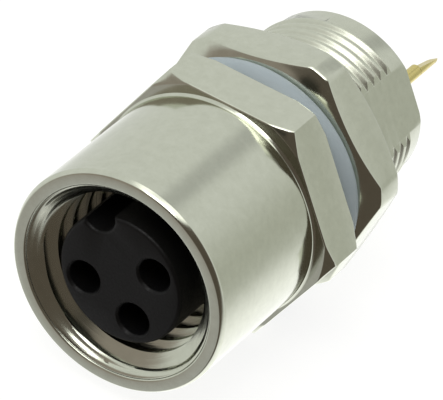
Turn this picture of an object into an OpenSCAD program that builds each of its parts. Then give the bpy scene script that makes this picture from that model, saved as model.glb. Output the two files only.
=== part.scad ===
// Circular panel connector for sensors, three socket contacts, screw coupling.
// It lies along Y with its mating face towards -Y and one flat of its collar upwards.
// The origin is on the axis, in the rear face of the collar, against which the panel is sealed.
// Lengths are millimetres.

/* [Barrel] */
// Outside diameter of the smooth barrel
barrel_d = 9.6; // [9.4:0.05:9.7]
// Length of the barrel in front of the collar
barrel_len = 6.6; // [6.4:0.1:8]
// Break on the outer edge of the front ring
barrel_edge = 0.14; // [0.1:0.02:0.2]
// Fillet-like step in the corner between barrel and collar
root_step = 0.1; // [0.06:0.01:0.12]

/* [Coupling thread] */
// Diameter of the mouth, where the conical lead-in meets the front ring
mouth_d = 8.46; // [8.3:0.02:8.6]
// Core diameter of the internal coupling thread
core_d = 6.92; // [6.86:0.02:7]
// Depth of the lead-in cone
lead_in_len = 0.78; // [0.6:0.02:0.9]
// Depth of the annular cavity, from the front ring to its floor
cavity_depth = 6.2; // [5.6:0.1:6.3]

/* [Hexagonal collar] */
// Width across the flats of the collar
collar_af = 10; // [10:0.1:11]
// Length of the collar
collar_len = 2.12; // [2:0.02:2.6]
// Diameter from which the corners of the collar are chamfered
collar_face_d = 10.6; // [10.2:0.1:11]
// Angle of the corner chamfers on collar and nut, from the end faces
corner_angle = 30; // [25:1:35]

/* [Threaded shank] */
// Outside diameter of the shank thread
shank_d = 7.96; // [7.92:0.01:8]
// Length of the shank behind the collar
shank_len = 7.9; // [7.5:0.1:12]
// Pitch of the ring grooves that stand for the shank thread
thread_pitch = 0.5; // [0.5:0.05:1]
// Depth of the thread grooves
thread_depth = 0.13; // [0.1:0.01:0.2]
// Width of the flat crest between two thread grooves
thread_crest = 0.16; // [0.1:0.02:0.2]
// Diameter of the neck under the panel seal
neck_d = 7.26; // [7.2:0.02:7.3]
// Diameter of the plain end of the shank
pilot_d = 7.64; // [7.58:0.01:7.66]
// Length of the plain end of the shank
pilot_len = 1; // [0.9:0.05:1.2]
// Break on the rear edge of the shank
pilot_edge = 0.1; // [0.06:0.02:0.16]
// Distance from the axis to the milled flat
flat_distance = 3.6; // [3.55:0.01:3.7]
// Direction of the milled flat around the axis
flat_angle = 30; // [0:30:180]
// Wall thickness of the shank in the neck
shank_wall = 0.38; // [0.36:0.01:0.42]

/* [Panel seal] */
// Section diameter of the seal ring
seal_section = 1.36; // [1.35:0.01:1.44]
// Thickness to which the seal ring is squeezed
seal_squeezed = 1.33; // [1.2:0.01:1.34]
// Play between the seal ring and the neck
seal_play = 0.05; // [0.03:0.01:0.1]

/* [Mounting nut] */
// Width across the flats of the nut
nut_af = 10; // [9.8:0.1:11]
// Thickness of the nut
nut_len = 2.2; // [1.8:0.1:3]
// Diameter to which the nut corners are turned
nut_corner_d = 11.1; // [11:0.05:11.3]
// Diameter of the flat end faces of the nut
nut_face_d = 9.5; // [9.3:0.1:9.7]
// Turn of the nut against the collar
nut_turn = 11.4; // [0:0.2:59]
// Radial play between nut and shank
nut_play = 0.04; // [0.02:0.01:0.08]
// Depth of the bore chamfers of the nut
nut_mouth = 0.25; // [0.15:0.05:0.35]

/* [Contact carrier] */
// Diameter of the pillar in the mouth
pillar_d = 5.5; // [5.4:0.02:5.6]
// Depth of the pillar face behind the front ring
pillar_recess = 0.25; // [0.1:0.05:0.5]
// Break on the front edge of the pillar
pillar_edge = 0.15; // [0.1:0.01:0.2]
// Radial play between carrier and shell
carrier_play = 0.05; // [0.03:0.01:0.08]
// Thickness of the shoulder of the shell that stops the carrier
shoulder_len = 1; // [0.8:0.1:1.2]
// Radial step from the pillar to the land in the shoulder
land_step = 0.2; // [0.18:0.01:0.22]
// Depth of the carrier's rear face inside the shank
rear_recess = 1; // [0.5:0.1:1.2]
// Direction of the key notch around the axis
key_angle = 120; // [0:30:330]
// Width of the key notch
key_w = 1.4; // [1.2:0.05:1.5]
// Radial depth of the key notch
key_depth = 0.68; // [0.62:0.02:0.75]
// Length of the key notch
key_len = 4.6; // [3.5:0.1:5]

/* [Contacts] */
// Diameter of the circle through the contacts
contact_pcd = 3.4; // [3.3:0.05:3.5]
// Angle between the key notch and each of the two side contacts
contact_spread = 85; // [80:1:95]
// Outside diameter of a contact
contact_d = 1.3; // [1.26:0.01:1.34]
// Radial play of a contact in its cavity
contact_play = 0.04; // [0.02:0.01:0.06]
// Bore of a contact for the mating pin
socket_d = 1.05; // [1.03:0.01:1.07]
// Depth of the bore of a contact
socket_len = 4.8; // [4:0.1:5.2]
// Width of the spring slots of a contact
slot_w = 0.18; // [0.14:0.01:0.22]
// Length of the spring slots of a contact
slot_len = 3.2; // [2.5:0.1:3.6]
// Chamfer at the mouth of the bore of a contact
socket_lead = 0.08; // [0.04:0.01:0.1]
// Depth of the front end of a contact behind the pillar face
contact_recess = 1.4; // [1:0.1:1.6]
// Chamfer around the holes in the pillar face
entry_edge = 0.1; // [0.06:0.01:0.14]
// Length of a contact that stands out of the carrier's rear face
contact_stub = 0.3; // [0.2:0.05:0.5]
// Diameter of the solder tails
tail_d = 0.6; // [0.56:0.01:0.66]
// Offset of a solder tail from the middle of its contact
tail_offset = 0.5; // [0.4:0.01:0.52]
// Length of the solder tails behind the shank
tail_len = 4.4; // [3.5:0.1:6]
// Length of the flattened tip of a solder tail
tip_len = 1.15; // [1:0.05:1.3]
// Slope of the flattened tip of a solder tail
tip_angle = 10; // [8:1:12]

/* [Hidden] */
$fn = 48;
over = 1;
front_z = collar_len + barrel_len;
floor_z = front_z - cavity_depth;
stop_z = floor_z - shoulder_len;
pillar_z = front_z - pillar_recess;
shank_bore_r = neck_d / 2 - shank_wall;
body_r = shank_bore_r - carrier_play;
body_rear_z = rear_recess - shank_len;
seal_inner_r = neck_d / 2 + seal_play;
seal_mid_r = seal_inner_r + seal_section / 2;
nut_front_z = -seal_squeezed;
cavity_r = contact_d / 2 + contact_play;
contact_front_z = pillar_z - contact_recess;
side_1 = key_angle - contact_spread;
side_3 = key_angle + contact_spread;
contact_rear_z = body_rear_z - contact_stub;
land_r = pillar_d / 2 + land_step;
opposite = key_angle + 180;
metal = [0.72, 0.73, 0.69];
gold = [0.83, 0.72, 0.38];

// Turns a shape built with its mating end up so that it lies along Y, mating end to -Y.
module lying() {
    rotate([90, 0, 0]) children();
}

// Moves a shape to a contact position.
module at_contact(angle) {
    rotate([0, 0, angle]) translate([contact_pcd / 2, 0, 0]) children();
}

// A hexagonal slab from z = 0 upwards with chamfered corners at both ends.
module hexagon(af, len, face_d, corner_d) {
    drop = (corner_d - face_d) / 2 * tan(corner_angle);
    intersection() {
        cylinder(d = af / cos(30), h = len, $fn = 6);
        rotate_extrude()
            polygon([[0, 0], [face_d / 2, 0], [corner_d / 2, drop], [corner_d / 2, len - drop],
                [face_d / 2, len], [0, len]]);
    }
}

// Turned outline of the shell: shank, core of the collar and barrel.
module shell_outline() {
    neck_r = neck_d / 2;
    shank_r = shank_d / 2;
    pilot_r = pilot_d / 2;
    barrel_r = barrel_d / 2;
    pilot_z = pilot_len - shank_len;
    groove_w = thread_pitch - thread_crest;
    grooves = floor((-seal_squeezed - pilot_z) / thread_pitch);
    thread_z = pilot_z + thread_crest;
    thread = [for (i = [0 : grooves - 1], part = [0 : 2])
        [shank_r - (part == 1 ? thread_depth : 0), thread_z + i * thread_pitch + part * groove_w / 2]];
    rotate_extrude()
        polygon(concat([[0, -shank_len], [pilot_r - pilot_edge, -shank_len],
            [pilot_r, pilot_edge - shank_len], [pilot_r, pilot_z], [shank_r, pilot_z]], thread,
            [[shank_r, -seal_squeezed], [neck_r, -seal_squeezed],
            [neck_r, 0], [neck_r, collar_len], [barrel_r + root_step, collar_len],
            [barrel_r, collar_len + root_step], [barrel_r, front_z - barrel_edge],
            [barrel_r - barrel_edge, front_z], [0, front_z]]));
}

// Turned hollow of the shell: lead-in, threaded cavity, shoulder and shank bore.
module shell_hollow() {
    core_r = core_d / 2;
    mouth_r = mouth_d / 2;
    shoulder_r = land_r + carrier_play;
    rotate_extrude()
        polygon([[0, -shank_len - over], [shank_bore_r, -shank_len - over], [shank_bore_r, stop_z],
            [shoulder_r, stop_z], [shoulder_r, floor_z], [core_r, floor_z], [core_r, front_z - lead_in_len],
            [mouth_r, front_z], [mouth_r, front_z + over], [0, front_z + over]]);
}

// Nickel-plated brass shell, turned from hexagonal bar.
module shell() {
    color(metal) lying() difference() {
        union() {
            shell_outline();
            hexagon(collar_af, collar_len, collar_face_d, collar_af / cos(30));
        }
        shell_hollow();
        rotate([0, 0, flat_angle])
            translate([flat_distance, -shank_d / 2, -shank_len - over])
                cube([shank_d, shank_d, shank_len + over - seal_squeezed]);
    }
}

// Cavity of one contact, with its chamfered entry in the pillar face.
module contact_cavity() {
    rotate_extrude()
        polygon([[0, body_rear_z - over], [cavity_r, body_rear_z - over], [cavity_r, pillar_z - entry_edge],
            [cavity_r + entry_edge + over, pillar_z + over], [0, pillar_z + over]]);
}

// Black moulded carrier: pillar, stop shoulder and body in the shank.
module contact_carrier() {
    pillar_r = pillar_d / 2;
    color([0.13, 0.13, 0.14]) lying() difference() {
        rotate_extrude()
            polygon([[0, body_rear_z], [body_r, body_rear_z], [body_r, stop_z], [land_r, stop_z],
                [land_r, floor_z], [pillar_r, floor_z], [pillar_r, pillar_z - pillar_edge],
                [pillar_r - pillar_edge, pillar_z], [0, pillar_z]]);
        for (angle = [side_1, side_3, opposite])
            at_contact(angle) contact_cavity();
        rotate([0, 0, key_angle]) translate([pillar_r - key_depth + key_w / 2, 0, pillar_z - key_len])
            cylinder(d = key_w, h = key_len + over);
    }
}

// Gold-plated contact: slotted socket in front, off-centre solder tail with a flattened tip behind.
module contact(angle) {
    tail_r = tail_d / 2;
    tip_z = -shank_len - tail_len;
    socket_z = contact_front_z - socket_len;
    color(gold) lying() at_contact(angle) difference() {
        union() {
            translate([0, 0, contact_rear_z]) cylinder(d = contact_d, h = contact_front_z - contact_rear_z);
            translate([0, -tail_offset, tip_z]) difference() {
                cylinder(r = tail_r, h = contact_rear_z + contact_stub / 2 - tip_z);
                translate([-tail_d, 0, tip_len]) rotate([-tip_angle, 0, 0])
                    translate([0, 0, -2 * tip_len]) cube([2 * tail_d, tail_d, 2 * tip_len]);
            }
        }
        translate([0, 0, socket_z]) cylinder(d = socket_d, h = socket_len + over);
        translate([0, 0, contact_front_z - socket_lead])
            cylinder(r1 = socket_d / 2, r2 = socket_d / 2 + 2 * socket_lead, h = 2 * socket_lead);
        translate([-slot_w / 2, -contact_d, contact_front_z - slot_len])
            cube([slot_w, 2 * contact_d, slot_len + over]);
    }
}

// Side contact to the right of the key.
module contact_1() {
    contact(side_1);
}

// Side contact to the left of the key.
module contact_3() {
    contact(side_3);
}

// Contact opposite the key.
module contact_4() {
    contact(opposite);
}

// Pale elastomer ring, squeezed flat between the collar and the nut.
module panel_seal() {
    color([0.66, 0.7, 0.75]) lying() intersection() {
        translate([0, 0, -seal_squeezed / 2]) rotate_extrude()
            translate([seal_mid_r, 0]) circle(d = seal_section, $fn = 24);
        translate([0, 0, -seal_squeezed]) cylinder(r = seal_mid_r + seal_section, h = seal_squeezed);
    }
}

// Nickel-plated brass nut on the shank thread.
module mounting_nut() {
    bore_r = shank_d / 2 + nut_play;
    color(metal) lying() translate([0, 0, nut_front_z - nut_len]) rotate([0, 0, nut_turn]) difference() {
        hexagon(nut_af, nut_len, nut_face_d, nut_corner_d);
        rotate_extrude()
            polygon([[0, -over], [bore_r + nut_mouth, -over], [bore_r + nut_mouth, 0], [bore_r, nut_mouth],
                [bore_r, nut_len - nut_mouth], [bore_r + nut_mouth, nut_len],
                [bore_r + nut_mouth, nut_len + over], [0, nut_len + over]]);
    }
}

shell();
contact_carrier();
contact_1();
contact_3();
contact_4();
panel_seal();
mounting_nut();
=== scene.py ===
from math import atan2, ceil, cos, hypot, pi, radians, sin, sqrt, tan
import bmesh
import bpy
from mathutils import Matrix, Vector


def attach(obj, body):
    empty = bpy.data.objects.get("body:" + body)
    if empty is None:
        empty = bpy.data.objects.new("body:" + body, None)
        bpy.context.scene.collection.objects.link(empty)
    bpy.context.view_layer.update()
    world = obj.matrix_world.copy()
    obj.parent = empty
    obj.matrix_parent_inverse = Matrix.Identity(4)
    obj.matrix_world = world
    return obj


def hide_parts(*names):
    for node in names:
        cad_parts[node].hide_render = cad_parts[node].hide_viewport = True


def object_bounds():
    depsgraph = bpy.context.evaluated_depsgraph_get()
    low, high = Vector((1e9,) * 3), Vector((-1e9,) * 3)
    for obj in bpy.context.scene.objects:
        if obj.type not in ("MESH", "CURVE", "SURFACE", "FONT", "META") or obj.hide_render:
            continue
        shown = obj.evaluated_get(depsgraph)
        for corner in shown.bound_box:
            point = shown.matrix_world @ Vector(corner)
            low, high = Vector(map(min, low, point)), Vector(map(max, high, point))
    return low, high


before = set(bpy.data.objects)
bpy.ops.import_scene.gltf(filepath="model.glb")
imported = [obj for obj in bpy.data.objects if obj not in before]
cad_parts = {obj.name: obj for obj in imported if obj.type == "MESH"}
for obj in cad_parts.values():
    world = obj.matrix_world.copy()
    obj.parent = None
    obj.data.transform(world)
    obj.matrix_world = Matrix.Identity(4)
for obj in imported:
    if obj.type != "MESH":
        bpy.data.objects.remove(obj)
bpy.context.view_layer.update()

# Shell: the metal body of the connector, one piece of brass turned from hexagonal bar and nickel plated.
# The lathe leaves a smooth barrel, a screw thread in the mouth and a fine thread on the shank;
# the collar keeps the drawn flats of the bar, and one flat is milled along the shank.

# Sizes are in millimetres. A piece is modelled upright, with z up the axis to the mating face and 0 in the
# rear face of the collar, and is laid along Y in metres when it is finished.
MM_PER_M = 1000
STEPS = 240  # facets in a full turn
WELD = 2e-4  # vertices closer than this are one
SNAP = 1e-5  # an edge shorter than this is dropped
SHARP = radians(40)  # an edge that turns more than this stays sharp
barrel_r, barrel_len = 4.8, 6.6
collar_across, collar_len, collar_face_r, collar_corner_r = 10.0, 2.12, 5.3, 5.8
front_z = collar_len + barrel_len
chamfer = tan(radians(30))
mouth_r, core_r, lead_len = 4.23, 3.46, 0.78
coupling_pitch, coupling_depth = 1.0, 0.54
floor_z, stop_z = 2.52, 1.52
shoulder_r, bore_r, neck_r = 3.0, 3.25, 3.56
shank_r, shank_len, shank_pitch, shank_depth = 3.98, 7.9, 0.5, 0.14
pilot_r, pilot_len = 3.82, 1.0
seal_thickness = 1.33
flat_distance, flat_angle = 3.6, radians(30)
edge_break, rim_break, rim_break_len = 0.1, 0.12, 0.2


def joined(bm, part):
    """Add a part that was made by itself to the piece."""
    spare = bpy.data.meshes.new("part")
    part.to_mesh(spare)
    part.free()
    bm.from_mesh(spare)
    bpy.data.meshes.remove(spare)


def only(kind, geom):
    """The elements of one kind, out of what an operator gives back."""
    return [element for element in geom if isinstance(element, kind)]


def eased(outline, edge):
    """Round each corner of an outline of (radius, height) points with three points."""
    most = 0.4  # of the shorter side
    points = [Vector(point) for point in outline]
    soft = points[:1]
    for before, here, after in zip(points, points[1:], points[2:]):
        back, on = before - here, after - here
        reach = min(edge, most * back.length, most * on.length)
        first, last = here + back.normalized() * reach, here + on.normalized() * reach
        soft += [first, (first + 2 * here + last) / 4, last]
    return soft + points[-1:]


def turned(bm, outline, centre=(0, 0), start=0.0, sweep=2 * pi, steps=STEPS, closed=False):
    """Spin an outline of (radius, height) points round an upright axis, and cap the ends of a part turn."""
    part = bmesh.new()
    cx, cy = centre
    points = [part.verts.new((cx + r * cos(start), cy + r * sin(start), z)) for r, z in outline]
    lines = [part.edges.new(pair) for pair in zip(points, points[1:] + (points[:1] if closed else []))]
    full = sweep == 2 * pi
    made = bmesh.ops.spin(part, geom=points + lines, cent=(cx, cy, 0), axis=(0, 0, 1), angle=sweep,
                          steps=steps, use_merge=full)
    if not full:
        bmesh.ops.edgeloop_fill(part, edges=lines)
        bmesh.ops.edgeloop_fill(part, edges=only(bmesh.types.BMEdge, made["geom_last"]))
    joined(bm, part)


def threaded(bm, teeth, pitch, low, high, radius):
    """Spin one tooth round while it climbs a pitch, stack copies of that turn, and trim them to a stretch.

    A tooth is a row of (share of the pitch, depth from 0 to 1) points. The function radius gives a point's
    radius from its height, its depth and its place along the thread, counted in pitches.
    """
    strip = bmesh.new()
    row = [(1 + depth, 0, low + pitch * (share - 1)) for share, depth in teeth + ((1.0, teeth[0][1]),)]
    points = [strip.verts.new(point) for point in row]
    lines = [strip.edges.new(pair) for pair in zip(points, points[1:])]
    bmesh.ops.spin(strip, geom=points + lines, cent=(0, 0, 0), axis=(0, 0, 1), dvec=(0, 0, pitch / STEPS),
                   angle=2 * pi, steps=STEPS, use_merge=False)
    turn = strip.verts[:] + strip.edges[:] + strip.faces[:]
    for turns in range(1, ceil((high - low) / pitch) + 1):
        copy = bmesh.ops.duplicate(strip, geom=turn)["geom"]
        bmesh.ops.translate(strip, verts=only(bmesh.types.BMVert, copy), vec=(0, 0, pitch * turns))
    for v in strip.verts:
        depth = hypot(v.co.x, v.co.y) - 1
        place = (v.co.z - low) / pitch - atan2(v.co.y, v.co.x) / (2 * pi)
        z = min(max(v.co.z, low), high)
        r = radius(z, depth, place) / (1 + depth)
        v.co = (v.co.x * r, v.co.y * r, z)
    joined(bm, strip)


def hexagonal(bm, across, length, face_r, corner_r, low_r, high_r):
    """Spin a plain tube, push its rings out to a hexagon with chamfered ends, and round its corners."""
    soft_edge, rim_gap, corner_edge = 0.06, 0.05, 0.05

    def outline(angle):
        """The (radius, height) points at one angle round the axis."""
        off = (angle + radians(30)) % radians(60) - radians(30)
        reach = min(across / 2 / cos(radians(30) - abs(off)), corner_r)
        rim = min(face_r, reach - rim_gap)
        drop = (reach - rim) * chamfer
        return eased([(low_r, 0), (rim, 0), (reach, drop), (reach, length - drop), (rim, length),
                      (high_r, length)], soft_edge)

    tube = bmesh.new()
    turned(tube, [(1, row) for row in range(len(outline(0)))])
    for v in tube.verts:
        angle = atan2(v.co.y, v.co.x)
        r, z = outline(angle)[round(v.co.z)]
        v.co = (r * cos(angle), r * sin(angle), z)
    corners = [e for e in tube.edges if abs(e.verts[0].co.z - e.verts[1].co.z) > length / 4
               and e.calc_face_angle(0) > SHARP]
    bmesh.ops.bevel(tube, geom=corners, offset=corner_edge, offset_type="OFFSET", segments=2, profile=0.5,
                    affect="EDGES", material=-1)
    joined(bm, tube)


def finished(bm, name, body, nodes, materials):
    """Close the mesh, lay it along Y in metres, and hang it on its body in place of the CAD nodes."""
    bmesh.ops.remove_doubles(bm, verts=bm.verts, dist=WELD)
    bmesh.ops.dissolve_degenerate(bm, edges=bm.edges, dist=SNAP)
    bmesh.ops.recalc_face_normals(bm, faces=bm.faces)
    bmesh.ops.transform(bm, verts=bm.verts,
                        matrix=Matrix.Scale(1 / MM_PER_M, 4) @ Matrix.Rotation(radians(90), 4, "X"))
    mesh = bpy.data.meshes.new(name)
    bm.to_mesh(mesh)
    bm.free()
    mesh.shade_smooth()
    mesh.set_sharp_from_angle(angle=SHARP)
    for material in materials:
        mesh.materials.append(material)
    piece = bpy.data.objects.new(name, mesh)
    bpy.context.scene.collection.objects.link(piece)
    piece.modifiers.new("flat_faces", "WEIGHTED_NORMAL").keep_sharp = True
    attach(piece, body)
    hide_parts(*nodes)


def linear(code):
    """Turn an sRGB hex colour into the linear values that Blender takes."""
    parts = [int(code[i:i + 2], 16) / 255 for i in (1, 3, 5)]
    return tuple(c / 12.92 if c <= 0.04045 else ((c + 0.055) / 1.055) ** 2.4 for c in parts) + (1.0,)


def add_node(tree, kind, inputs=(), **settings):
    """Add one node with its settings; an input is a value or the socket that feeds it."""
    made = tree.nodes.new(kind)
    for key, value in settings.items():
        setattr(made, key, value)
    for key, value in dict(inputs).items():
        if isinstance(value, bpy.types.NodeSocket):
            tree.links.new(value, made.inputs[key])
        else:
            made.inputs[key].default_value = value
    return made


def new_material(name):
    """Start a material, and give back the material, its empty tree and its Object coordinates."""
    material = bpy.data.materials.new(name)
    material.use_nodes = True
    tree = material.node_tree
    tree.nodes.clear()
    where = add_node(tree, "ShaderNodeTexCoord").outputs["Object"]
    return material, tree, where


def nickel(name, mark_size, roughness, mark_depth, chatter=0.0):
    """Bright nickel on machined brass: a warm grey mirror, broken by the tool's marks under the plating.

    A mark has a size along x, y and z and a depth, and chatter is the share of slanting ripples in it.
    """
    # The crystals of the plating are far too fine to show, so its clouds are drawn 0.45 mm wide.
    # The ripples are 0.14 mm apart, and a diagonal wave repeats each 2 * pi / 10 along x + y + z.
    cloud_size, chatter_step = 0.45, 0.14
    material, tree, where = new_material(name)
    cloud = add_node(tree, "ShaderNodeTexNoise", {
        "Vector": where, "Scale": MM_PER_M / cloud_size, "Detail": 5.0, "Roughness": 0.7})
    tint = add_node(tree, "ShaderNodeMix", {
        0: cloud.outputs["Fac"], 6: linear("#C8CBBB"), 7: linear("#DEE1D2")}, data_type="RGBA")
    placed = add_node(tree, "ShaderNodeMapping", {
        "Vector": where, "Scale": [MM_PER_M / size for size in mark_size]})
    grain = add_node(tree, "ShaderNodeTexNoise", {
        "Vector": placed.outputs["Vector"], "Scale": 1.0, "Detail": 4.0, "Roughness": 0.6})
    gloss = add_node(tree, "ShaderNodeMapRange", {
        "Value": grain.outputs["Fac"], "From Min": 0.3, "From Max": 0.7,
        "To Min": roughness[0], "To Max": roughness[1]})
    waves = add_node(tree, "ShaderNodeTexWave", {
        "Vector": where, "Scale": 2 * pi / 10 * MM_PER_M / (sqrt(3) * chatter_step),
        "Distortion": 3.0, "Detail": 1.0}, bands_direction="DIAGONAL")
    height = add_node(tree, "ShaderNodeMix", {
        0: chatter, 2: grain.outputs["Fac"], 3: waves.outputs["Fac"]}, data_type="FLOAT")
    marks = add_node(tree, "ShaderNodeBump", {
        "Height": height.outputs[0], "Distance": mark_depth / MM_PER_M})
    metal = add_node(tree, "ShaderNodeBsdfPrincipled", {
        "Base Color": tint.outputs[2], "Metallic": 1.0, "Roughness": gloss.outputs["Result"],
        "Normal": marks.outputs["Normal"]})
    add_node(tree, "ShaderNodeOutputMaterial", {"Surface": metal.outputs["BSDF"]})
    return material


# Turned: shallow rings round the axis. A real feed of 0.05 mm wouldn't show, so they are 0.1 mm apart.
nickel_turned = nickel("nickel_plated_turned_brass", (5.0, 0.1, 5.0), (0.1, 0.18), 0.001)
# Drawn or milled: flats with a satin grain, drawn coarser than the real one, and faint slanting chatter.
nickel_drawn = nickel("nickel_plated_drawn_brass", (0.17, 0.17, 0.17), (0.14, 0.24), 0.0024, chatter=0.25)
# Cut: the duller, torn skin that a threading tool leaves, with its tears drawn coarser, at 0.25 mm.
nickel_cut = nickel("nickel_plated_cut_thread", (0.25, 0.25, 0.25), (0.28, 0.38), 0.0012)
# Bored: the boring tool's rings inside the mouth, at a real feed of 0.17 mm.
nickel_bored = nickel("nickel_plated_bored_brass", (30.0, 0.17, 30.0), (0.16, 0.26), 0.012)

# The coupling thread climbs the mouth from its floor to a plain lip, and its lead-in is bored in a spiral.
# Its tooth has points all along the crest, the flanks and the root, which the spiral marks need.
ridge = ((0.0, 0.0), (0.08, 0.0), (0.16, 0.0), (0.25, 0.0), (0.31, 0.2), (0.37, 0.4), (0.43, 0.6),
         (0.5, 0.82), (0.56, 1.0), (0.625, 1.0), (0.69, 1.0), (0.75, 0.82), (0.82, 0.6), (0.88, 0.4),
         (0.94, 0.2))
lip, floor_gap, run_out = 0.2, 0.2, 0.5
coupling_top, coupling_low = front_z - lip, floor_z + floor_gap
lead_slope = (mouth_r - core_r) / lead_len
feed_depth, feed_marks, feed_fade = 0.035, 5, 0.05


def lead_radius(z):
    """The radius of the lead-in's cone at a height."""
    return mouth_r - (front_z - z) * lead_slope


def coupling_radius(z, depth, place):
    """The mouth's thread, which runs out at the floor and is cut back by the lead-in with its feed marks."""
    mark = feed_depth * max(0, cos(2 * pi * feed_marks * place)) * min(1, (coupling_top - z) / feed_fade)
    fade = min(1.0, (z - coupling_low) / run_out)
    return max(lead_radius(z) + mark, core_r + coupling_depth * depth * fade)


shell = bmesh.new()
threaded(shell, ridge, coupling_pitch, coupling_low, coupling_top, coupling_radius)

# The bore runs from the mouth's floor to the rear rim, and the plain pilot leads back to the shank's thread.
tooth = ((0.0, 0.0), (0.1, 0.0), (0.19, 0.0), (0.24, 0.09), (0.31, 0.32), (0.41, 0.68), (0.48, 0.92),
         (0.53, 1.0), (0.59, 1.0), (0.64, 0.92), (0.71, 0.68), (0.81, 0.32), (0.88, 0.09), (0.93, 0.0))
thread_low, thread_high = pilot_len - shank_len, -seal_thickness - edge_break
thread_start, thread_end = 0.12, 0.3


def shank_radius(z, depth, place):
    """The shank's thread, which starts on the pilot and runs out at the neck."""
    rise = min(1.0, (z - thread_low) / thread_start)
    fade = min(rise, (thread_high - z) / thread_end)
    return pilot_r + (shank_r - pilot_r) * rise - shank_depth * depth * fade


turned(shell, eased([
    (core_r, coupling_low), (core_r, floor_z), (shoulder_r, floor_z), (shoulder_r, stop_z), (bore_r, stop_z),
    (bore_r, edge_break - shank_len), (bore_r + edge_break, -shank_len), (pilot_r - edge_break, -shank_len),
    (pilot_r, edge_break - shank_len), (pilot_r, thread_low)], edge=0.03))
threaded(shell, tooth, shank_pitch, thread_low, thread_high, shank_radius)
turned(shell, [(shank_r, thread_high), (shank_r - edge_break, -seal_thickness), (neck_r, -seal_thickness),
               (neck_r, 0)])
bmesh.ops.remove_doubles(shell, verts=shell.verts, dist=WELD)

# The milled flat cuts the outside of the shank, from the rear rim to the neck.
outward = Vector((cos(flat_angle), sin(flat_angle), 0))
outside_r = bore_r + 0.05


def on_shank(v):
    """True for a vertex on the outside of the shank."""
    return v.co.z < WELD - seal_thickness and hypot(v.co.x, v.co.y) > outside_r


shank_faces = [f for f in shell.faces if all(on_shank(v) for v in f.verts)]
shank_parts = list(dict.fromkeys(part for f in shank_faces for part in (*f.verts, *f.edges)))
cut = bmesh.ops.bisect_plane(shell, geom=shank_faces + shank_parts, dist=SNAP,
                             plane_co=outward * flat_distance, plane_no=outward, clear_outer=True)
bmesh.ops.triangle_fill(shell, edges=only(bmesh.types.BMEdge, cut["geom_cut"]), use_beauty=True,
                        normal=outward)

# The collar, then the barrel with its broken rim and the first ring of the lead-in.
hexagonal(shell, collar_across, collar_len, collar_face_r, collar_corner_r, neck_r, barrel_r + edge_break)
ring_drop, ring_half = 0.1, 0.04
ring_steps = ((0.0, 0.0), (ring_drop - ring_half, 0.0), (ring_drop, feed_depth),
              (ring_drop + ring_half, 0.0), (lip, 0.0))
first_ring = [(lead_radius(front_z - drop) + groove, front_z - drop) for drop, groove in ring_steps]
turned(shell, eased([
    (barrel_r + edge_break, collar_len), (barrel_r, collar_len + edge_break),
    (barrel_r, front_z - rim_break_len), (barrel_r - rim_break, front_z)] + first_ring, edge=0.05))

# Flats have the drawn finish, the shank's thread and collar's front the cut one, the mouth the bored one.
flats_r, upright, near = 4.9, 0.2, 0.01


def on_hexagon(f):
    """True for a face on the flats of a hexagon, further out than the round parts."""
    middle = f.calc_center_median()
    return hypot(middle.x, middle.y) > flats_r and abs(f.normal.z) < upright


for f in shell.faces:
    middle = f.calc_center_median()
    reach = hypot(middle.x, middle.y)
    on_collar = 0 < middle.z < collar_len and on_hexagon(f)
    on_flat = (middle.z < -seal_thickness and f.normal.dot(outward) > 0.999
               and abs(middle.dot(outward) - flat_distance) < near)
    on_thread = thread_low < middle.z < thread_high and reach > flat_distance + 2 * near
    on_front = abs(middle.z - collar_len) < near and f.normal.z > 0.9
    in_mouth = middle.z > floor_z and reach < mouth_r
    if on_collar or on_flat:
        f.material_index = 1
    elif on_thread or on_front:
        f.material_index = 2
    elif in_mouth:
        f.material_index = 3
finished(shell, "shell_body", "connector", ["shell"],
         [nickel_turned, nickel_drawn, nickel_cut, nickel_bored])

# Contact carrier: the black insert that holds the contacts, moulded in one piece from glass-filled nylon.
# Its pillar stands in the mouth with a key notch, and its body is pressed into the shank from behind.
PILLAR_STEPS, NOTCH_STEPS, BODY_STEPS, HOLE_STEPS = 120, 40, 160, 48
pillar_r, pillar_z = 2.75, 8.47
pillar_edge = ((0.15, 0.0), (0.1, 0.015), (0.03, 0.07), (0.0, 0.15))
key_angle, key_r, key_depth, key_end = radians(120), 0.7, 0.68, 3.87
land_r, body_r, body_end = 2.95, 3.2, -6.9
contact_circle, cavity_r, entry_r, entry_len = 1.7, 0.69, 0.79, 0.1
contact_angles = {"contact_1": radians(35), "contact_3": radians(205), "contact_4": radians(300)}
contact_places = [(contact_circle * cos(a), contact_circle * sin(a)) for a in contact_angles.values()]


def keyed_loop(bm, inset, z):
    """Lay the pillar's outline with its key notch, drawn in by an inset, as a loop of edges."""
    r, notch = pillar_r - inset, key_r + inset
    middle = pillar_r - key_depth + key_r
    meet = (r * r + middle * middle - notch * notch) / (2 * r * middle)
    half = atan2(sqrt(1 - meet * meet), meet)
    side = atan2(r * sin(half), r * cos(half) - middle)
    around = [key_angle + half + 2 * (pi - half) * i / PILLAR_STEPS for i in range(PILLAR_STEPS + 1)]
    inward = [key_angle - side - 2 * (pi - side) * i / NOTCH_STEPS for i in range(1, NOTCH_STEPS)]
    centre = Vector((middle * cos(key_angle), middle * sin(key_angle), z))
    points = [Vector((r * cos(a), r * sin(a), z)) for a in around]
    points += [centre + Vector((notch * cos(a), notch * sin(a), 0)) for a in inward]
    verts = [bm.verts.new(point) for point in points]
    return [bm.edges.new(pair) for pair in zip(verts, verts[1:] + verts[:1])]


def round_loop(bm, r, z, steps, centre=(0, 0)):
    """Lay a circle as a loop of edges."""
    made = bmesh.ops.create_circle(bm, radius=r, segments=steps, matrix=Matrix.Translation((*centre, z)))
    return list(dict.fromkeys(e for v in made["verts"] for e in v.link_edges))


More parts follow.
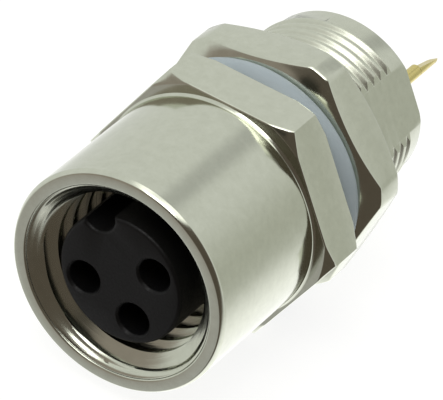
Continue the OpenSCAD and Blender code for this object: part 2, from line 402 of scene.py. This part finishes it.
def black_nylon():
    """Moulded glass-filled nylon: near black, with the dull, finely pitted skin that the fibres leave."""
    # The fibres are about 0.01 mm thick and wouldn't show, so the pits are drawn 0.11 mm wide.
    pit_size, pit_depth, flow_size = 0.11, 0.03, 1.1
    material, tree, where = new_material("black_nylon_moulded")
    pits = add_node(tree, "ShaderNodeTexNoise", {
        "Vector": where, "Scale": MM_PER_M / pit_size, "Detail": 3.0})
    flow = add_node(tree, "ShaderNodeTexNoise", {
        "Vector": where, "Scale": MM_PER_M / flow_size, "Detail": 2.0})
    tint = add_node(tree, "ShaderNodeMix", {
        0: flow.outputs["Fac"], 6: linear("#0A0A0B"), 7: linear("#111112")}, data_type="RGBA")
    gloss = add_node(tree, "ShaderNodeMapRange", {
        "Value": pits.outputs["Fac"], "From Min": 0.3, "From Max": 0.7, "To Min": 0.38, "To Max": 0.54})
    skin = add_node(tree, "ShaderNodeBump", {
        "Height": pits.outputs["Fac"], "Strength": 0.25, "Distance": pit_depth / MM_PER_M})
    plastic = add_node(tree, "ShaderNodeBsdfPrincipled", {
        "Base Color": tint.outputs[2], "Roughness": gloss.outputs["Result"], "IOR": 1.53,
        "Specular IOR Level": 0.25, "Normal": skin.outputs["Normal"]})
    add_node(tree, "ShaderNodeOutputMaterial", {"Surface": plastic.outputs["BSDF"]})
    return material


carrier = bmesh.new()
levels = [(inset, pillar_z - drop) for inset, drop in pillar_edge] + [(0, key_end), (0, floor_z)]
loops = [keyed_loop(carrier, inset, z) for inset, z in levels]
for upper, lower in zip(loops, loops[1:]):
    bmesh.ops.bridge_loops(carrier, edges=upper + lower)
front = list(loops[0])
back = round_loop(carrier, body_r, body_end, BODY_STEPS)
for place in contact_places:
    front += round_loop(carrier, entry_r, pillar_z, HOLE_STEPS, place)
    back += round_loop(carrier, cavity_r, body_end, HOLE_STEPS, place)
bmesh.ops.triangle_fill(carrier, edges=front, use_beauty=True, normal=(0, 0, 1))
bmesh.ops.triangle_fill(carrier, edges=back, use_beauty=True, normal=(0, 0, -1))
land = round_loop(carrier, land_r, floor_z, BODY_STEPS)
bmesh.ops.triangle_fill(carrier, edges=loops[-1] + land, use_beauty=True, normal=(0, 0, 1))
cavity = eased([(entry_r, pillar_z), (cavity_r, pillar_z - entry_len), (cavity_r, body_end)], edge=0.05)
for place in contact_places:
    turned(carrier, cavity, centre=place, steps=HOLE_STEPS)
turned(carrier, [(body_r, body_end), (body_r, stop_z), (land_r, stop_z), (land_r, floor_z)],
       steps=BODY_STEPS)
finished(carrier, "carrier_insert", "connector", ["contact_carrier"], [black_nylon()])

# Contacts: three pins turned from brass and gold plated, each with a bored and slotted socket in front
# and a solder tail behind that comes off one side of its barrel; they are pressed into the carrier.
PIN_STEPS, SPRING_STEPS, TAIL_STEPS = 48, 24, 32
contact_r, contact_front, contact_back, back_edge = 0.65, 7.07, -7.2, 0.06
socket_r, socket_end, drill_tip = 0.525, 2.27, 0.25
slot_end, slot_half, spring_sink, spring_root = 3.87, radians(9), 0.003, 0.05
spring_lead, lip_width, lip_drop = 0.08, 0.02, 0.04
tail_r, tail_offset, tail_root, tail_end = 0.28, 0.55, 0.15, -12.3
step_z, step_edge, step_lap = -10.92, 0.02, 0.05
tip_height, tip_slope, tip_edge = 0.1, radians(9), ((0.0, 0.14), (0.03, 0.05), (0.1, 0.0))


def gold_plate():
    """Thin gold over nickel on turned brass: pale yellow, satin, with faint rings from the lathe."""
    # The real feed of 0.03 mm wouldn't show, so the rings are drawn about 0.08 mm wide.
    ring_size, ring_depth = (0.67, 0.083, 0.67), 0.02
    material, tree, where = new_material("gold_plated_turned_brass")
    placed = add_node(tree, "ShaderNodeMapping", {
        "Vector": where, "Scale": [MM_PER_M / size for size in ring_size]})
    grain = add_node(tree, "ShaderNodeTexNoise", {
        "Vector": placed.outputs["Vector"], "Scale": 1.0, "Detail": 3.0})
    tint = add_node(tree, "ShaderNodeMix", {
        0: grain.outputs["Fac"], 6: linear("#DDCD84"), 7: linear("#E7D996")}, data_type="RGBA")
    gloss = add_node(tree, "ShaderNodeMapRange", {
        "Value": grain.outputs["Fac"], "From Min": 0.3, "From Max": 0.7, "To Min": 0.2, "To Max": 0.34})
    marks = add_node(tree, "ShaderNodeBump", {
        "Height": grain.outputs["Fac"], "Strength": 0.05, "Distance": ring_depth / MM_PER_M})
    metal = add_node(tree, "ShaderNodeBsdfPrincipled", {
        "Base Color": tint.outputs[2], "Metallic": 1.0, "Roughness": gloss.outputs["Result"],
        "Normal": marks.outputs["Normal"]})
    add_node(tree, "ShaderNodeOutputMaterial", {"Surface": metal.outputs["BSDF"]})
    return material


gold = gold_plate()
inner, outer, root = socket_r + spring_sink, contact_r - spring_sink, slot_end - spring_root
for node_name, angle in contact_angles.items():
    contact = bmesh.new()
    turned(contact, [
        (0, socket_end - drill_tip), (socket_r, socket_end), (socket_r, slot_end), (contact_r, slot_end),
        (contact_r, contact_back + back_edge), (contact_r - back_edge, contact_back), (0, contact_back)],
        steps=PIN_STEPS)
    # Two springs stand between the slots of the socket.
    for side in (0, pi):
        turned(contact, [
            (inner, root), (inner, contact_front - spring_lead), (inner + spring_lead, contact_front),
            (outer - lip_width, contact_front), (outer, contact_front - lip_drop), (outer, root)],
            start=side + slot_half - pi / 2, sweep=pi - 2 * slot_half, steps=SPRING_STEPS, closed=True)
    # The tail is round as far as its step, and from there a slanting flat is cut along it.
    turned(contact, [
        (0, contact_back + tail_root), (tail_r, contact_back + tail_root), (tail_r, step_z + step_edge),
        (tail_r - step_edge, step_z), (0, step_z)], centre=(0, -tail_offset), steps=TAIL_STEPS)
    finger = bmesh.new()
    tip = [(tail_r - inset, tail_end + rise) for inset, rise in tip_edge]
    turned(finger, [(0, step_z + step_lap), (tail_r, step_z + step_lap), *tip, (0, tail_end)],
           centre=(0, -tail_offset), steps=TAIL_STEPS)
    bmesh.ops.remove_doubles(finger, verts=finger.verts, dist=WELD)
    bmesh.ops.bisect_plane(finger, geom=finger.verts[:] + finger.edges[:] + finger.faces[:], dist=SNAP,
                           plane_co=(0, tip_height - tail_offset, step_z),
                           plane_no=(0, cos(tip_slope), -sin(tip_slope)), clear_outer=True)
    bmesh.ops.holes_fill(finger, edges=[e for e in finger.edges if e.is_boundary])
    joined(contact, finger)
    bmesh.ops.translate(contact, verts=contact.verts, vec=(contact_circle, 0, 0))
    bmesh.ops.rotate(contact, verts=contact.verts, cent=(0, 0, 0), matrix=Matrix.Rotation(angle, 3, "Z"))
    finished(contact, node_name + "_pin", "connector", [node_name], [gold])

# Panel seal: a ring of pale silicone rubber, moulded with a round section.
# It sits on the neck of the shank and is squeezed a little flat between the collar and the nut.
SECTION_STEPS = 40
seal_mid_r, seal_section_r = 4.36, 0.68


def silicone():
    """Moulded silicone rubber: a cloudy pale blue-grey that lets some light in, with a soft sheen."""
    # Dust and the mould's own grain are too fine to show, so the specks are drawn 0.17 mm wide.
    cloud_size, speck_size, speck_depth, light_depth = 1.25, 0.17, 0.02, 0.3
    material, tree, where = new_material("silicone_rubber_moulded")
    cloud = add_node(tree, "ShaderNodeTexNoise", {
        "Vector": where, "Scale": MM_PER_M / cloud_size, "Detail": 3.0})
    tint = add_node(tree, "ShaderNodeMix", {
        0: cloud.outputs["Fac"], 6: linear("#A2AEB4"), 7: linear("#B1BCC1")}, data_type="RGBA")
    dust = add_node(tree, "ShaderNodeTexNoise", {
        "Vector": where, "Scale": MM_PER_M / speck_size, "Detail": 2.0})
    gloss = add_node(tree, "ShaderNodeMapRange", {
        "Value": dust.outputs["Fac"], "From Min": 0.3, "From Max": 0.7, "To Min": 0.38, "To Max": 0.55})
    skin = add_node(tree, "ShaderNodeBump", {
        "Height": dust.outputs["Fac"], "Strength": 0.12, "Distance": speck_depth / MM_PER_M})
    rubber = add_node(tree, "ShaderNodeBsdfPrincipled", {
        "Base Color": tint.outputs[2], "Roughness": gloss.outputs["Result"], "IOR": 1.41,
        "Subsurface Weight": 0.15, "Subsurface Radius": (1.0, 1.0, 1.0),
        "Subsurface Scale": light_depth / MM_PER_M, "Normal": skin.outputs["Normal"]})
    add_node(tree, "ShaderNodeOutputMaterial", {"Surface": rubber.outputs["BSDF"]})
    return material


def squeezed(z):
    """A height in the round section, pressed in between the collar and the nut."""
    return min(0, max(-seal_thickness, z - seal_thickness / 2))


seal = bmesh.new()
around = [2 * pi * i / SECTION_STEPS for i in range(SECTION_STEPS)]
section = [(seal_mid_r + seal_section_r * cos(a), squeezed(seal_section_r * sin(a))) for a in around]
turned(seal, section, closed=True)
finished(seal, "seal_ring", "connector", ["panel_seal"], [silicone()])

# Mounting nut: a thin hexagonal nut turned from brass bar and nickel plated, chamfered on both faces.
# It runs on the fine thread of the shank and clamps the panel against the seal.
nut_across, nut_len, nut_face_r, nut_corner_r, nut_turn = 10.0, 2.2, 4.75, 5.55, radians(11.4)
nut_bore_r, nut_thread_depth, nut_mouth = 4.02, 0.2, 0.25
nut_mouth_r = nut_bore_r + nut_mouth


def nut_radius(z, depth, place):
    """The nut's thread, opened by a chamfer at both ends."""
    return max(nut_mouth_r - min(z, nut_len - z), nut_bore_r + nut_thread_depth * depth)


nut = bmesh.new()
threaded(nut, tooth, shank_pitch, 0.0, nut_len, nut_radius)
hexagonal(nut, nut_across, nut_len, nut_face_r, nut_corner_r, nut_mouth_r, nut_mouth_r)
for f in nut.faces:
    f.material_index = int(on_hexagon(f))
bmesh.ops.rotate(nut, verts=nut.verts, cent=(0, 0, 0), matrix=Matrix.Rotation(nut_turn, 3, "Z"))
bmesh.ops.translate(nut, verts=nut.verts, vec=(0, 0, -seal_thickness - nut_len))
finished(nut, "nut_hexagon", "nut", ["mounting_nut"], [nickel_turned, nickel_drawn])

# Floor: a sheet of white card that the connector lies on, in the studio and not part of the object.
# It shows as plain white with a faint shadow, and the metal mirrors the tent and not the card.
# From here on, sizes and places are in metres.
card_half, card_gap, card_glow = 0.6, 0.00002, 0.85
sheet = bmesh.new()
bmesh.ops.create_grid(sheet, x_segments=2, y_segments=2, size=card_half)
bmesh.ops.translate(sheet, verts=sheet.verts, vec=(0, 0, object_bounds()[0].z - card_gap))
sheet_mesh = bpy.data.meshes.new("studio_floor")
sheet.to_mesh(sheet_mesh)
sheet.free()
floor = bpy.data.objects.new("studio_floor", sheet_mesh)
bpy.context.scene.collection.objects.link(floor)
# Matt card: grey flecks 2.5 mm wide, the clumps of its fibres, under a white glow that only the camera sees.
fleck_size = 2.5
card, tree, where = new_material("white_card_matt")
fibre = add_node(tree, "ShaderNodeTexNoise", {
    "Vector": where, "Scale": MM_PER_M / fleck_size, "Detail": 3.0})
shade = add_node(tree, "ShaderNodeMix", {
    0: fibre.outputs["Fac"], 6: linear("#868684"), 7: linear("#8E8E8D")}, data_type="RGBA")
matt = add_node(tree, "ShaderNodeBsdfDiffuse", {"Color": shade.outputs[2]})
path = add_node(tree, "ShaderNodeLightPath")
seen = add_node(tree, "ShaderNodeMath", {
    0: path.outputs["Is Camera Ray"], 1: card_glow}, operation="MULTIPLY")
glow = add_node(tree, "ShaderNodeEmission", {"Color": (1, 1, 1, 1), "Strength": seen.outputs["Value"]})
white = add_node(tree, "ShaderNodeAddShader", {0: matt.outputs["BSDF"], 1: glow.outputs["Emission"]})
add_node(tree, "ShaderNodeOutputMaterial", {"Surface": white.outputs["Shader"]})
floor.data.materials.append(card)
floor.visible_glossy = False
floor.visible_shadow = False

# Light: a white tent round the connector, bright behind and below, with a seam that runs overhead.
# It is open and dark on the camera's side, and a soft box hangs over the front.
world = bpy.data.worlds.new("studio_tent")
bpy.context.scene.world = world
world.use_nodes = True
tree = world.node_tree
tree.nodes.clear()
way = add_node(tree, "ShaderNodeTexCoord").outputs["Generated"]
axes = add_node(tree, "ShaderNodeSeparateXYZ", {"Vector": way}).outputs


def bearing(azimuth):
    """A level direction, counted in degrees from the front towards the right."""
    return Vector((sin(radians(azimuth)), -cos(radians(azimuth)), 0.0))


# The cloth greys into its far right corner and along the seam.
right_wall = add_node(tree, "ShaderNodeVectorMath", {0: way, 1: bearing(136)}, operation="DOT_PRODUCT")
turning = add_node(tree, "ShaderNodeMapRange", {
    "Value": right_wall.outputs["Value"], "From Min": 0.78, "From Max": 1.0})
corner = add_node(tree, "ShaderNodeMath", {0: turning.outputs["Result"], 1: 2.0}, operation="POWER")
cloth = add_node(tree, "ShaderNodeMix", {
    0: corner.outputs["Value"], 6: (0.74, 0.75, 0.73, 1), 7: (0.52, 0.53, 0.48, 1)}, data_type="RGBA")
across = add_node(tree, "ShaderNodeVectorMath", {0: way, 1: bearing(265)}, operation="DOT_PRODUCT")
off_seam = add_node(tree, "ShaderNodeMath", {0: across.outputs["Value"]}, operation="ABSOLUTE")
seam = add_node(tree, "ShaderNodeMapRange", {
    "Value": off_seam.outputs["Value"], "From Min": 0.03, "From Max": 0.2, "To Min": 0.72, "To Max": 1.0},
    interpolation_type="SMOOTHSTEP")

# A darker flap hangs in front, a bright panel takes the roof but for its left end, and the walls stand on a
# bright floor.
fades = {}
for name, axis, start, end in (("flap", "Y", -0.64, -0.52), ("roof", "Z", 0.8, 0.93),
                               ("panel", "X", -0.48, -0.18), ("walls", "Z", -0.85, -0.2)):
    fades[name] = add_node(tree, "ShaderNodeMapRange", {
        "Value": axes[axis], "From Min": start, "From Max": end},
        interpolation_type="SMOOTHSTEP").outputs["Result"]
hung = add_node(tree, "ShaderNodeMix", {
    0: fades["flap"], 6: (0.32, 0.28, 0.25, 1), 7: cloth.outputs[2]}, data_type="RGBA")
overhead = add_node(tree, "ShaderNodeMath", {0: fades["roof"], 1: fades["panel"]}, operation="MULTIPLY")
lined = add_node(tree, "ShaderNodeMix", {
    0: overhead.outputs["Value"], 6: hung.outputs[2], 7: (1.7, 1.7, 1.65, 1)}, data_type="RGBA")
above = add_node(tree, "ShaderNodeVectorMath", {
    0: lined.outputs[2], 1: seam.outputs["Result"]}, operation="MULTIPLY")
below = add_node(tree, "ShaderNodeMapRange", {
    "Value": axes["Y"], "From Min": -0.5, "From Max": 0.3, "To Min": 0.5, "To Max": 1.34},
    interpolation_type="SMOOTHSTEP")
inside = add_node(tree, "ShaderNodeMix", {
    0: fades["walls"], 6: below.outputs["Result"], 7: above.outputs["Vector"]}, data_type="RGBA")

# The opening has a left, a right and an upper edge, and the room behind the camera is darkest in one spot.
opening = 1.0
for towards, start, end, first, last in ((bearing(118) + Vector((0, 0, 0.37)), -0.5, -0.45, 0.0, 1.0),
                                         (Vector((0, 1, -0.25)), -0.17, 0.11, 1.0, 0.0),
                                         (Vector((-0.35, 0, 1)), 0.63, 0.71, 1.0, 0.0)):
    reach = add_node(tree, "ShaderNodeVectorMath", {0: way, 1: towards}, operation="DOT_PRODUCT")
    edge = add_node(tree, "ShaderNodeMapRange", {
        "Value": reach.outputs["Value"], "From Min": start, "From Max": end,
        "To Min": first, "To Max": last}, interpolation_type="SMOOTHSTEP")
    both = add_node(tree, "ShaderNodeMath", {0: opening, 1: edge.outputs["Result"]}, operation="MULTIPLY")
    opening = both.outputs["Value"]
towards_spot = add_node(tree, "ShaderNodeVectorMath", {
    0: way, 1: (-0.04, -0.95, 0.31)}, operation="DOT_PRODUCT")
spot = add_node(tree, "ShaderNodeMapRange", {
    "Value": towards_spot.outputs["Value"], "From Min": 0.982, "From Max": 0.996})
room = add_node(tree, "ShaderNodeMix", {
    0: spot.outputs["Result"], 6: (0.1, 0.082, 0.066, 1), 7: (0.03, 0.028, 0.022, 1)}, data_type="RGBA")
tent = add_node(tree, "ShaderNodeMix", {
    0: opening, 6: inside.outputs[2], 7: room.outputs[2]}, data_type="RGBA")
lit = add_node(tree, "ShaderNodeBackground", {"Color": tent.outputs[2], "Strength": 1.0})
plain = add_node(tree, "ShaderNodeBackground", {"Color": (1, 1, 1, 1), "Strength": 1.0})
path = add_node(tree, "ShaderNodeLightPath")
blend = add_node(tree, "ShaderNodeMixShader", {
    0: path.outputs["Is Camera Ray"], 1: lit.outputs["Background"], 2: plain.outputs["Background"]})
add_node(tree, "ShaderNodeOutputWorld", {"Surface": blend.outputs["Shader"]})

lamp = bpy.data.lights.new("front_box", "AREA")
lamp.shape = "RECTANGLE"
lamp.size = 0.092
lamp.size_y = 0.08
lamp.energy = 0.07
front_box = bpy.data.objects.new("front_box", lamp)
front_box.location = (0.008, -0.106, 0.17)
front_box.rotation_euler = (-front_box.location).to_track_quat("-Z", "Y").to_euler()
bpy.context.scene.collection.objects.link(front_box)

# Camera: at the photograph's viewing angle, with a long lens and a slight roll against the upper flat.
# Its picture is 443 pixels wide, and the lens is given in the same pixels.
image_width, focal_length = 443, 5000
right = Vector((0.8338, 0.5315, 0.1496))
up = Vector((-0.4258, 0.4468, 0.7868))
away = Vector((0.3513, -0.7197, 0.5988))
stand = Matrix.Translation((0.06887, -0.14217, 0.11710))
eye = bpy.data.cameras.new("camera")
eye.sensor_width = 36.0
eye.lens = focal_length / image_width * eye.sensor_width
eye.clip_start = 0.01
eye.clip_end = 5.0
camera = bpy.data.objects.new("camera", eye)
camera.matrix_world = stand @ Matrix((right, up, away)).transposed().to_4x4()
bpy.context.scene.collection.objects.link(camera)
bpy.context.scene.camera = camera
bpy.context.scene.view_settings.view_transform = "Standard"
